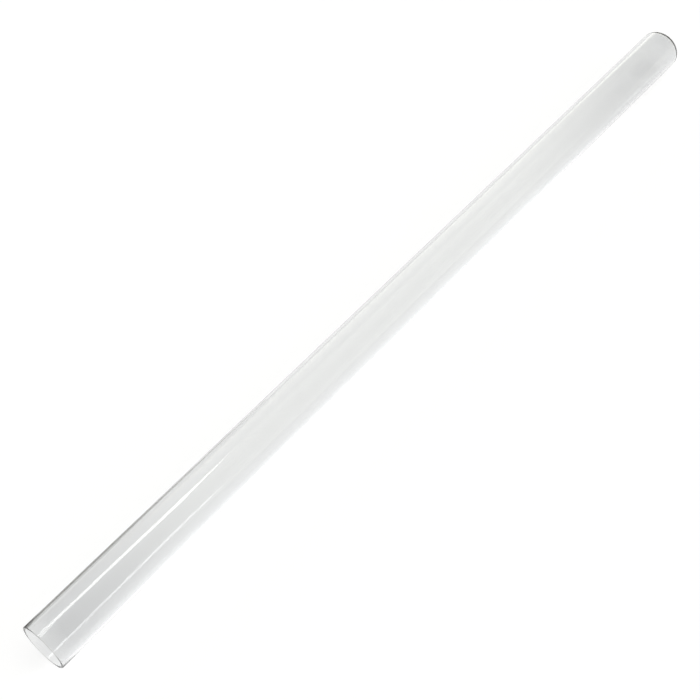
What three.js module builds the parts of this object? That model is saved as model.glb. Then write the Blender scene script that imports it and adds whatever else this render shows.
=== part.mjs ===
// A plain laboratory glass tube: straight round wall, one end open and cut square, the other
// end closed in the flame to a shallow dome. It is one piece of glass, lying on its side.
// Millimetres, +Z up. The tube's axis runs along X, with the open end at -X and the closed end
// at +X. The origin is under the middle of the tube, on the surface that it lies on.

import * as THREE from "three";

// Driving dimensions.
const OVERALL_LENGTH = 500; // from the open rim to the tip of the closed end
const OUTER_DIAMETER = 24;
const WALL_THICKNESS = 1.2;
const END_DEPTH = 6.6; // how far the dome of the closed end reaches past the straight wall
const END_THICKNESS = 1.8; // glass at the middle of the closed end, where the flame gathers it
const RIM_ROUNDING = 0.25; // radius of the two melted edges of the open rim

// How finely the round shapes are faceted.
const SIDES = 48;
const DOME_STEPS = 10;
const ROUNDING_STEPS = 3;
const ON_AXIS = 1e-9; // a point nearer to the axis than this is on it

const OUTER_RADIUS = OUTER_DIAMETER / 2;
const BORE_RADIUS = OUTER_RADIUS - WALL_THICKNESS;
const DOME_START = OVERALL_LENGTH - END_DEPTH;
const QUARTER_TURN = Math.PI / 2;

// Points of an ellipse arc as (distance from the tube's axis, distance from the open end).
function ellipseArc(centre, radialSize, axialSize, fromAngle, toAngle, steps) {
  return Array.from({ length: steps + 1 }, (_, step) => {
    const angle = fromAngle + ((toAngle - fromAngle) * step) / steps;
    const radius = centre.x + radialSize * Math.cos(angle);
    const height = centre.y + axialSize * Math.sin(angle);
    return new THREE.Vector2(radius < ON_AXIS ? 0 : radius, height);
  });
}

// A quarter of the open rim's rounding, next to the bore or next to the outer wall.
function rimRounding(radius, fromAngle) {
  const centre = new THREE.Vector2(radius, RIM_ROUNDING);
  const toAngle = fromAngle + QUARTER_TURN;
  return ellipseArc(centre, RIM_ROUNDING, RIM_ROUNDING, fromAngle, toAngle, ROUNDING_STEPS);
}

// The wall's section: down the inside from the closed end, round the rim, and up the outside.
// The straight bore, the flat of the rim and the straight outer wall join one arc to the next.
function wallSection() {
  const domeCentre = new THREE.Vector2(0, DOME_START);
  return [
    ...ellipseArc(domeCentre, BORE_RADIUS, END_DEPTH - END_THICKNESS, QUARTER_TURN, 0, DOME_STEPS),
    ...rimRounding(BORE_RADIUS + RIM_ROUNDING, 2 * QUARTER_TURN),
    ...rimRounding(OUTER_RADIUS - RIM_ROUNDING, 3 * QUARTER_TURN),
    ...ellipseArc(domeCentre, OUTER_RADIUS, END_DEPTH, 0, QUARTER_TURN, DOME_STEPS),
  ];
}

// The section is turned about an upright axis, and the tube is then laid down along +X. It starts
// half a facet round, so that the tube lies on a flat facet of its wall.
function makeGlassTube() {
  const halfFacet = Math.PI / SIDES;
  const geometry = new THREE.LatheGeometry(wallSection(), SIDES, halfFacet, 2 * Math.PI);
  const material = new THREE.MeshStandardMaterial({
    color: 0xe8ecec,
    roughness: 0.04,
    metalness: 0,
    transparent: true,
    opacity: 0.35,
  });
  const tube = new THREE.Mesh(geometry, material);
  tube.name = "glass_tube";
  tube.rotation.z = -QUARTER_TURN; // lays the axis down along +X
  tube.position.set(-OVERALL_LENGTH / 2, 0, OUTER_RADIUS * Math.cos(halfFacet));
  return tube;
}

const closedEndTube = new THREE.Group();
closedEndTube.add(makeGlassTube());

export default closedEndTube;
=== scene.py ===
"""Looks for a plain laboratory glass tube, open at one end and closed to a shallow dome at the other.

Everything is in metres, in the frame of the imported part: the tube lies along X on the plane z = 0,
with its open end at -X and its closed end at +X.
"""

import math

import bpy
import numpy as np
from bpy.props import FloatProperty, FloatVectorProperty, IntProperty, PointerProperty
from bpy.types import Operator, Panel, PropertyGroup
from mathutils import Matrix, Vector


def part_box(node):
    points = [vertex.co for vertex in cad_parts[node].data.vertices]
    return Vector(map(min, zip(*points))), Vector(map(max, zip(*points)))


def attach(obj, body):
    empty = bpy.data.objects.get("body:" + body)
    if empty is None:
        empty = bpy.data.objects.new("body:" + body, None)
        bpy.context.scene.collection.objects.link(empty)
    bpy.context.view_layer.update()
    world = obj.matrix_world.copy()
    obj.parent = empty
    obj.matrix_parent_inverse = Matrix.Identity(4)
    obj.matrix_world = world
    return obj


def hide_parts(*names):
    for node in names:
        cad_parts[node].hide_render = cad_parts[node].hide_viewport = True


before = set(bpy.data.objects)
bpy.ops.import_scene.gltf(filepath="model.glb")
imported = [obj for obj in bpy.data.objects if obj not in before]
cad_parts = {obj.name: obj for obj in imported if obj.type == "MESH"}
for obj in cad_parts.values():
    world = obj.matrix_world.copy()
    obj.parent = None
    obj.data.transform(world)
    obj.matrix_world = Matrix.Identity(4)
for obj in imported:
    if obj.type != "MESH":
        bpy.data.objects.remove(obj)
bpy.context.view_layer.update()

bl_info = {
    "name": "Laboratory Glass Tube",
    "version": (1, 0, 0),
    "blender": (4, 5, 0),
    "location": "View3D > Sidebar > Glass Tube",
    "description": "Draws a closed-end laboratory glass tube on a light table in a plain studio",
    "category": "Add Mesh",
}

TUBE_NODE = "glass_tube"
TUBE_LOW, TUBE_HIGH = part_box(TUBE_NODE)
OUTER_RADIUS = (TUBE_HIGH.y - TUBE_LOW.y) / 2
AXIS_HEIGHT = (TUBE_HIGH.z + TUBE_LOW.z) / 2
OPEN_END = TUBE_LOW.x
CLOSED_END = TUBE_HIGH.x
QUARTER_TURN = math.pi / 2

# How finely the tube's section is drawn.
DOME_STEPS = 32
STRAIGHT_STEPS = 48
ROUNDING_STEPS = 8

# The bore's slow swell, one row for each sine: its share, how often it repeats in a turn, where it
# starts, and how far it slides round from one end of the tube to the other.
SWELLS = [(0.7, 1, 1.1, 1.5), (0.3, 2, 0.4, -4.0)]

# Noise cells per metre along X, Y and Z, and how many finer layers of noise lie on them.
LINE_CELLS = (1.5, 260, 260)
LINE_DETAIL = 2.0
HAZE_CELLS = (30, 60, 60)
HAZE_DETAIL = 3.0

# A painted pool of light: a brighter strip in the light table's glow along the tube's -Y side.
# The first two are how much brighter it is beside the open end and beside the middle, and the
# third is the share of that which it loses by the closed end.
# The others are where a smooth step starts and ends, in metres: from the open end, back from the
# closed end, and out from the tube's middle plane towards -Y.
PAINTED_LIGHT_AT_OPEN_END = 0.3
PAINTED_LIGHT_AT_MIDDLE = 0.5
PAINTED_LIGHT_LOSS = 0.84
PAINTED_LIGHT_RISE = (0.0, 0.07)
PAINTED_LIGHT_FALL = (0.03, 0.17)
PAINTED_LIGHT_NEAR_EDGE = (-0.006, 0.02)
PAINTED_LIGHT_FAR_EDGE = (0.025, 0.045)

# The studio round the table, by the direction that its light comes from. A share is a part of the
# wall brightness. A pair is where a smooth step starts and ends along the direction's X, Y or Z.
END_WALL_X = (0.14, 0.36)
END_WALL_Z = (0.0, 0.25)
END_WALL_LOSS = 0.8  # the part of its light that the end wall loses straight past the closed end
END_WALL_LOSS_X = (0.6, 0.76)
SIDE_WALL_SHARE = 0.12
SIDE_WALL_GAIN = 0.23  # added to the side wall's share past the closed end
SIDE_WALL_LEAN = 0.45  # how far the side wall's edge moves towards +Y as the direction rises by 1
SIDE_WALL_Y = (0.0, 0.12)
PAST_END_X = (0.2, 0.35)
HORIZON_SHARE = 0.54
HORIZON_Z = (0.2, 0.5)
HORIZON_DROP = 0.15  # how much lower the horizon's bright band ends on the +Y side
HORIZON_DROP_Y = (0.3, 0.6)
CORNER_X = (0.3, 0.45)
CORNER_Y = (0.5, 0.7)
CORNER_Z = (0.1, 0.3)


# ---------------------------------------------------------------- sizes and colours


class TubeSizes(PropertyGroup):
    """Sizes of the glass tube that its box doesn't give."""

    wall: FloatProperty(
        name="Wall",
        description="Thickness of the straight wall",
        default=0.0012,
        unit="LENGTH",
    )
    end_depth: FloatProperty(
        name="End depth",
        description="How far the dome of the closed end reaches past the straight wall",
        default=0.0066,
        unit="LENGTH",
    )
    end_thickness: FloatProperty(
        name="End thickness",
        description="Thickness of the glass at the middle of the closed end",
        default=0.0018,
        unit="LENGTH",
    )
    rim_rounding: FloatProperty(
        name="Rim rounding",
        description="Radius of the two melted edges of the open rim",
        default=0.00025,
        unit="LENGTH",
    )
    unevenness: FloatProperty(
        name="Unevenness",
        description="How far the bore strays from a true circle about the axis",
        default=0.00003,
        unit="LENGTH",
    )
    around: IntProperty(
        name="Around",
        description="Number of points round the tube",
        default=384,
    )


class GlassLook(PropertyGroup):
    """Colour and finish of the glass."""

    colour: FloatVectorProperty(
        name="Colour",
        description="What one wall lets through of white light",
        subtype="COLOR",
        size=3,
        default=(0.84, 0.845, 0.85),
    )
    ior: FloatProperty(
        name="Refractive index",
        description="Refractive index of borosilicate glass",
        default=1.474,
    )
    line_strength: FloatProperty(
        name="Drawing lines",
        description="Strength of the faint lines that drawing leaves along the tube",
        default=0.05,
        subtype="FACTOR",
    )
    line_height: FloatProperty(
        name="Line height",
        description="Height of the drawing lines at full strength",
        default=0.0002,
        unit="LENGTH",
    )
    haze: FloatProperty(
        name="Haze",
        description="Roughness of the glass where it has been handled most",
        default=0.02,
        subtype="FACTOR",
    )


class StageLook(PropertyGroup):
    """The light table, the studio round it and the camera."""

    table_colour: FloatVectorProperty(
        name="Table colour",
        description="Colour of the table top",
        subtype="COLOR",
        size=3,
        default=(0.2, 0.2, 0.2),
    )
    table_glow: FloatProperty(
        name="Table glow",
        description="Light that the table top gives off by itself",
        default=0.86,
    )
    table_size: FloatProperty(
        name="Table size",
        description="Length of the table top's sides",
        default=6.0,
        unit="LENGTH",
    )
    wall_brightness: FloatProperty(
        name="Wall brightness",
        description="Brightness of the studio's walls where they are brightest",
        default=2.1,
    )
    wall_colour: FloatVectorProperty(
        name="Wall colour",
        description="Colour of the studio's walls and ceiling",
        subtype="COLOR",
        size=3,
        default=(1.0, 1.0, 0.93),
    )
    overhead: FloatProperty(
        name="Overhead",
        description="Brightness of the studio's ceiling",
        default=0.05,
    )
    softbox_place: FloatVectorProperty(
        name="Softbox place",
        description="Middle of the softbox",
        subtype="TRANSLATION",
        size=3,
        default=(0.018, 0.393, 1.0),
    )
    softbox_size: FloatVectorProperty(
        name="Softbox size",
        description="Length and width of the softbox",
        size=2,
        default=(0.44, 0.2),
        unit="LENGTH",
    )
    softbox_turn: FloatProperty(
        name="Softbox turn",
        description="Turn of the softbox about the vertical, from the direction of the tube",
        default=math.radians(-33),
        subtype="ANGLE",
    )
    softbox_brightness: FloatProperty(
        name="Softbox brightness",
        description="How bright the softbox's face is, where 1 is pure white",
        default=4.8,
    )
    # The dark sheet set by these is painted shade: hidden from the camera, it puts a dark line into the
    # glass along its side by the open end.
    shade_sheet_colour: FloatVectorProperty(
        name="Paper colour",
        description="Colour of the dark paper beside the open end",
        subtype="COLOR",
        size=3,
        default=(0.42, 0.42, 0.42),
    )
    shade_sheet_near: FloatProperty(
        name="Paper's near edge",
        description="From the tube's middle plane to the dark paper's near edge",
        default=0.025,
        unit="LENGTH",
    )
    shade_sheet_far: FloatProperty(
        name="Paper's slant",
        description="From the tube's middle plane to the dark paper at the end of its slanted edge",
        default=0.048,
        unit="LENGTH",
    )
    shade_sheet_back: FloatProperty(
        name="Paper's back edge",
        description="From the tube's middle plane to the dark paper's back edge",
        default=0.052,
        unit="LENGTH",
    )
    shade_sheet_lift: FloatProperty(
        name="Paper's lift",
        description="Height of the dark paper above the table",
        default=0.0005,
        unit="LENGTH",
    )
    shade_sheet_reach: FloatVectorProperty(
        name="Paper's reach",
        description="From the open end to the dark paper's outer edge, corner and tip, along the tube",
        size=3,
        default=(-0.05, 0.055, 0.17),
        unit="LENGTH",
    )
    azimuth: FloatProperty(
        name="Azimuth",
        description="Direction that the camera looks from, turning about +Z from -Y",
        default=math.radians(-50.5),
        subtype="ANGLE",
    )
    elevation: FloatProperty(
        name="Elevation",
        description="Height of the camera above the horizon, as an angle",
        default=math.radians(53.11),
        subtype="ANGLE",
    )
    distance: FloatProperty(
        name="Distance",
        description="From the camera to the point that it looks at",
        default=0.6283,
        unit="LENGTH",
    )
    aim: FloatProperty(
        name="Aim",
        description="Place along the tube, from its middle, that the camera looks at",
        default=-0.0472,
        unit="LENGTH",
    )
    lens: FloatProperty(
        name="Lens",
        description="Focal length in millimetres on a sensor 36 mm wide",
        default=65.46,
        unit="CAMERA",
    )
    nearest: FloatProperty(
        name="Nearest",
        description="Nearest distance that the camera sees",
        default=0.01,
        unit="LENGTH",
    )


# ---------------------------------------------------------------- surfaces


def ellipse_arc(centre, radial, axial, start, end, steps):
    """Points of an ellipse arc, over an even run of angles: the centre plus radial times the cosine of
    the angle one way, and axial times its sine the other way."""
    angle = np.linspace(start, end, steps + 1)
    return np.column_stack([centre[0] + radial * np.cos(angle), centre[1] + axial * np.sin(angle)])


def straight(radius, start, end):
    """Points at one distance from the axis, spaced evenly between two places along it, ends left out."""
    along = np.linspace(start, end, STRAIGHT_STEPS + 1)[1:-1]
    return np.column_stack([np.full(len(along), radius), along])


def wall_section(sizes, length):
    """The wall's outline as (distance from the axis, distance from the open end), from the inside of
    the closed end down the bore, round the rim and up the outside, made of ellipse arcs joined by
    straight runs. Also 1 for each point of the bore and 0 for each point of the outside."""
    bore = OUTER_RADIUS - sizes.wall
    q = sizes.rim_rounding
    dome = (0.0, length - sizes.end_depth)
    inside = [
        ellipse_arc(dome, bore, sizes.end_depth - sizes.end_thickness, QUARTER_TURN, 0, DOME_STEPS),
        straight(bore, dome[1], q),
        ellipse_arc((bore + q, q), q, q, 2 * QUARTER_TURN, 3 * QUARTER_TURN, ROUNDING_STEPS),
    ]
    outside = [
        ellipse_arc((OUTER_RADIUS - q, q), q, q, 3 * QUARTER_TURN, 4 * QUARTER_TURN, ROUNDING_STEPS),
        straight(OUTER_RADIUS, q, dome[1]),
        ellipse_arc(dome, OUTER_RADIUS, sizes.end_depth, 0, QUARTER_TURN, DOME_STEPS),
    ]
    inner, outer = np.vstack(inside), np.vstack(outside)
    in_bore = np.concatenate([np.ones(len(inner)), np.zeros(len(outer))])
    return np.vstack([inner, outer]), in_bore


def revolve(section, turn, radius_scale):
    """Turns a section about the X axis. A point at distance r from the axis goes to r times the cosine
    and r times the sine of the turn, once r is multiplied by radius_scale. The section's two ends lie
    on the axis and become single points, with a fan of triangles round each."""
    r = section[:, :1] * radius_scale
    x = np.broadcast_to(section[:, 1:], r.shape)
    grid = np.stack([x, r * np.cos(turn), r * np.sin(turn)], axis=-1)
    rings, columns = r.shape[0] - 2, r.shape[1]
    vertices = np.vstack([grid[0, :1], grid[1:-1].reshape(-1, 3), grid[-1, :1]])
    ring = np.arange(rings - 1)[:, None] * columns + 1
    here, after = np.arange(columns), (np.arange(columns) + 1) % columns
    quads = np.stack([ring + here, ring + after, ring + columns + after, ring + columns + here], axis=-1)
    last = len(vertices) - 1
    last_ring = last - columns
    first_fan = np.stack([np.zeros(columns, int), 1 + after, 1 + here], axis=-1)
    last_fan = np.stack([np.full(columns, last), last_ring + here, last_ring + after], axis=-1)
    return vertices, [*quads.reshape(-1, 4).tolist(), *first_fan.tolist(), *last_fan.tolist()]


def add_mesh(name, vertices, faces):
    """A smooth-shaded mesh object, at the origin, of these vertices and faces."""
    mesh = bpy.data.meshes.new(name)
    mesh.from_pydata(vertices.tolist(), [], faces)
    mesh.shade_smooth()
    mesh.validate()
    piece = bpy.data.objects.new(name, mesh)
    bpy.context.scene.collection.objects.link(piece)
    return piece


def glass_tube_surface(sizes):
    """The tube's vertices and faces: its wall's section turned about the axis. The bore's radius has a
    slow swell, a sum of sines of the turn and of twice the turn that slide round along the length."""
    length = CLOSED_END - OPEN_END
    section, in_bore = wall_section(sizes, length)
    turn = np.linspace(0, 2 * math.pi, sizes.around, endpoint=False)[None, :]
    along = section[:, 1:] / length
    swell = sum(
        share * np.sin(repeats * turn + start + slide * along)
        for share, repeats, start, slide in SWELLS
    )
    scale = 1 + in_bore[:, None] * swell * sizes.unevenness / OUTER_RADIUS
    vertices, faces = revolve(section, turn, scale)
    return vertices + np.array([OPEN_END, 0, AXIS_HEIGHT]), faces


# ---------------------------------------------------------------- materials


class Socket:
    """A node's output, with arithmetic that adds Math nodes."""

    def __init__(self, nodes, socket):
        self.nodes = nodes
        self.socket = socket

    def _math(self, operation, a, b):
        return self.nodes.add("ShaderNodeMath", {"operation": operation}, {0: a, 1: b})

    def __add__(self, other):
        return self._math("ADD", self, other)

    def __radd__(self, other):
        return self._math("ADD", other, self)

    def __mul__(self, other):
        return self._math("MULTIPLY", self, other)

    def __rmul__(self, other):
        return self._math("MULTIPLY", other, self)

    def __sub__(self, other):
        return self._math("SUBTRACT", self, other)

    def __rsub__(self, other):
        return self._math("SUBTRACT", other, self)


class Nodes:
    """The node tree of a material or a world."""

    def __init__(self, owner):
        owner.use_nodes = True
        self.tree = owner.node_tree
        self.tree.nodes.clear()

    def add(self, kind, settings=None, values=None, output=0):
        """Adds a node of this type with its settings first, then the values or links of its sockets."""
        node = self.tree.nodes.new(kind)
        for name, value in (settings or {}).items():
            setattr(node, name, value)
        for name, value in (values or {}).items():
            if isinstance(value, Socket):
                self.tree.links.new(value.socket, node.inputs[name])
            else:
                node.inputs[name].default_value = value
        if not node.outputs:
            return None
        return Socket(self, node.outputs[output])

    def parts(self, vector, axes):
        """The named parts of a vector, such as "XY"."""
        return [self.add("ShaderNodeSeparateXYZ", {}, {"Vector": vector}, axis) for axis in axes]

    def noise(self, place, cells, detail):
        """Soft noise from 0 to 1, with so many cells per metre along X, Y and Z."""
        scaled = self.add("ShaderNodeMapping", {}, {"Vector": place, "Scale": cells})
        return self.add("ShaderNodeTexNoise", {}, {"Vector": scaled, "Scale": 1.0, "Detail": detail})

    def ramp(self, value, start, end):
        """A smooth step from 0 at start to 1 at end."""
        limits = {"Value": value, "From Min": start, "From Max": end}
        return self.add("ShaderNodeMapRange", {"interpolation_type": "SMOOTHSTEP"}, limits)

    def larger(self, a, b):
        """The larger of two values."""
        return self.add("ShaderNodeMath", {"operation": "MAXIMUM"}, {0: a, 1: b})


def clear_glass(look):
    """Clear drawn glass: smooth, with faint lines along the tube and a trace of handling haze."""
    material = bpy.data.materials.new("clear_glass")
    nodes = Nodes(material)
    place = nodes.add("ShaderNodeTexCoord", output="Object")
    lines = nodes.noise(place, LINE_CELLS, LINE_DETAIL)
    bump = {"Height": lines, "Strength": look.line_strength, "Distance": look.line_height}
    values = {
        "Base Color": (*look.colour, 1),
        "Transmission Weight": 1.0,
        "IOR": look.ior,
        "Roughness": look.haze * nodes.noise(place, HAZE_CELLS, HAZE_DETAIL),
        "Normal": nodes.add("ShaderNodeBump", {}, bump, "Normal"),
    }
    surface = nodes.add("ShaderNodeBsdfPrincipled", {}, values)
    nodes.add("ShaderNodeOutputMaterial", {}, {"Surface": surface})
    return material


def light_table(look):
    """A matt white table top lit from below, with a painted pool of light: a brighter strip in its glow
    along the tube's -Y side that is brightest beside the tube's middle and fades towards the closed end."""
    material = bpy.data.materials.new("light_table")
    nodes = Nodes(material)
    place = nodes.add("ShaderNodeTexCoord", output="Object")
    x, y = nodes.parts(place, "XY")
    # The strip is a painted pool of light, added to the table's even glow.
    gain = PAINTED_LIGHT_AT_MIDDLE - PAINTED_LIGHT_AT_OPEN_END
    rise = PAINTED_LIGHT_AT_OPEN_END + gain * nodes.ramp(x - OPEN_END, *PAINTED_LIGHT_RISE)
    fall = 1 - PAINTED_LIGHT_LOSS * (1 - nodes.ramp(CLOSED_END - x, *PAINTED_LIGHT_FALL))
    out = -1 * y
    painted_light_strip = nodes.ramp(out, *PAINTED_LIGHT_NEAR_EDGE) * (1 - nodes.ramp(out, *PAINTED_LIGHT_FAR_EDGE))
    glow = 1 + rise * fall * painted_light_strip
    values = {
        "Base Color": (*look.table_colour, 1),
        "Roughness": 0.9,
        "Specular IOR Level": 0.0,
        "Emission Color": nodes.add("ShaderNodeCombineColor", {}, {0: glow, 1: glow, 2: glow}),
        "Emission Strength": look.table_glow,
    }
    surface = nodes.add("ShaderNodeBsdfPrincipled", {}, values)
    nodes.add("ShaderNodeOutputMaterial", {}, {"Surface": surface})
    return material


def painted_shade_sheet(look):
    """Matt dark sheet, painted shade that only the glass shows."""
    material = bpy.data.materials.new("painted_shade_sheet")
    nodes = Nodes(material)
    values = {"Base Color": (*look.shade_sheet_colour, 1), "Roughness": 1.0, "Specular IOR Level": 0.0}
    surface = nodes.add("ShaderNodeBsdfPrincipled", {}, values)
    nodes.add("ShaderNodeOutputMaterial", {}, {"Surface": surface})
    return material


def studio_world(look):
    """Soft light from a plain studio, worked out from the direction it comes from. The lowest part of
    every wall is bright, the wall past the closed end is the brightest, the +Y wall is dimmer, and the
    corner between those two is bright again. The ceiling is dim."""
    world = bpy.data.worlds.new("studio")
    nodes = Nodes(world)
    direction = nodes.add("ShaderNodeTexCoord", output="Generated")
    x, y, z = nodes.parts(direction, "XYZ")
    past_end = nodes.ramp(x, *PAST_END_X)
    end_wall = nodes.ramp(x, *END_WALL_X) * nodes.ramp(z, *END_WALL_Z)
    end_wall = end_wall * (1 - END_WALL_LOSS * nodes.ramp(x, *END_WALL_LOSS_X))
    side_wall = nodes.ramp(y - SIDE_WALL_LEAN * z, *SIDE_WALL_Y)
    side_wall = side_wall * (SIDE_WALL_SHARE + SIDE_WALL_GAIN * past_end)
    drop = HORIZON_DROP * nodes.ramp(y, *HORIZON_DROP_Y) * (1 - past_end)
    horizon = HORIZON_SHARE * (1 - nodes.ramp(z + drop, *HORIZON_Z))
    corner = nodes.ramp(x, *CORNER_X) * nodes.ramp(y, *CORNER_Y) * (1 - nodes.ramp(z, *CORNER_Z))
    share = nodes.larger(nodes.larger(end_wall, side_wall), nodes.larger(horizon, corner))
    light = look.overhead + (look.wall_brightness - look.overhead) * share
    surface = nodes.add("ShaderNodeBackground", {}, {"Color": (*look.wall_colour, 1), "Strength": light})
    nodes.add("ShaderNodeOutputWorld", {}, {"Surface": surface})
    return world


# ---------------------------------------------------------------- stage


def add_light_table(look):
    """The square table top, at the height that the tube lies on."""
    half = look.table_size / 2
    corners = np.array([(-1, -1, 0), (1, -1, 0), (1, 1, 0), (-1, 1, 0)]) * half
    table = add_mesh("table_top", corners, [(0, 1, 2, 3)])
    table.data.materials.append(light_table(look))


def add_painted_shade_sheet(look):
    """A dark sheet on the table beside the open end, hidden from the camera, that is painted shade: it
    puts into the glass the dark line that glass shows along its side where it looks out past a bright
    table."""
    near, far, back = look.shade_sheet_near, look.shade_sheet_far, look.shade_sheet_back
    outer, corner, tip = (OPEN_END + reach for reach in look.shade_sheet_reach)
    outline = [(outer, near), (corner, near), (tip, far), (tip, back), (outer, back)]
    vertices = np.array([(x, y, look.shade_sheet_lift) for x, y in outline])
    paper = add_mesh("painted_shade_sheet", vertices, [tuple(range(len(outline)))])
    paper.data.materials.append(painted_shade_sheet(look))
    # Painted shade: the sheet is seen only in the glass, and neither lights nor shades the table.
    paper.visible_camera = False
    paper.visible_diffuse = False
    paper.visible_shadow = False


def add_softbox(look):
    """The softbox, turned about the vertical and facing straight down."""
    data = bpy.data.lights.new("softbox", "AREA")
    data.shape = "RECTANGLE"
    data.size, data.size_y = look.softbox_size
    data.energy = math.pi * data.size * data.size_y * look.softbox_brightness
    softbox = bpy.data.objects.new("softbox", data)
    softbox.location = look.softbox_place
    softbox.rotation_euler = (0, 0, look.softbox_turn)
    bpy.context.scene.collection.objects.link(softbox)


def add_camera(look):
    """The scene's camera, looking at a point on the tube's axis from an azimuth, an elevation and a
    distance."""
    level = math.cos(look.elevation)
    east, north = math.sin(look.azimuth) * level, -math.cos(look.azimuth) * level
    back = Vector((east, north, math.sin(look.elevation)))
    data = bpy.data.cameras.new("camera")
    data.lens = look.lens
    data.clip_start = look.nearest
    camera = bpy.data.objects.new("camera", data)
    camera.location = Vector((look.aim, 0, AXIS_HEIGHT)) + back * look.distance
    camera.rotation_mode = "QUATERNION"
    camera.rotation_quaternion = (-back).to_track_quat("-Z", "Y")
    bpy.context.scene.collection.objects.link(camera)
    bpy.context.scene.camera = camera


# ---------------------------------------------------------------- operators


class OBJECT_OT_glass_tube(Operator):
    """Draw the glass tube"""

    bl_idname = "object.lab_glass_tube"
    bl_label = "Glass Tube"

    def execute(self, context):
        scene = context.scene
        piece = add_mesh("clear_glass_tube", *glass_tube_surface(scene.tube_sizes))
        piece.data.materials.append(clear_glass(scene.glass_look))
        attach(piece, "root")
        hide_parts(TUBE_NODE)
        return {"FINISHED"}


class OBJECT_OT_stage(Operator):
    """Set the light table, the dark sheet of painted shade, the soft light and the camera"""

    bl_idname = "object.lab_glass_stage"
    bl_label = "Stage"

    def execute(self, context):
        scene = context.scene
        look = scene.stage_look
        scene.world = studio_world(look)
        scene.view_settings.view_transform = "Standard"
        add_light_table(look)
        add_painted_shade_sheet(look)
        add_softbox(look)
        add_camera(look)
        return {"FINISHED"}


class VIEW3D_PT_glass_tube(Panel):
    """Sidebar panel with a button for each operator"""

    bl_idname = "VIEW3D_PT_lab_glass_tube"
    bl_label = "Glass Tube"
    bl_space_type = "VIEW_3D"
    bl_region_type = "UI"
    bl_category = "Glass Tube"

    def draw(self, context):
        for operator in OPERATORS:
            self.layout.operator(operator.bl_idname)


OPERATORS = (OBJECT_OT_glass_tube, OBJECT_OT_stage)
CLASSES = (TubeSizes, GlassLook, StageLook, *OPERATORS, VIEW3D_PT_glass_tube)


def register():
    for cls in CLASSES:
        bpy.utils.register_class(cls)
    bpy.types.Scene.tube_sizes = PointerProperty(type=TubeSizes)
    bpy.types.Scene.glass_look = PointerProperty(type=GlassLook)
    bpy.types.Scene.stage_look = PointerProperty(type=StageLook)


def unregister():
    del bpy.types.Scene.stage_look
    del bpy.types.Scene.glass_look
    del bpy.types.Scene.tube_sizes
    for cls in reversed(CLASSES):
        bpy.utils.unregister_class(cls)


def main():
    register()
    bpy.ops.object.lab_glass_tube()
    bpy.ops.object.lab_glass_stage()


if __name__ == "__main__":
    main()
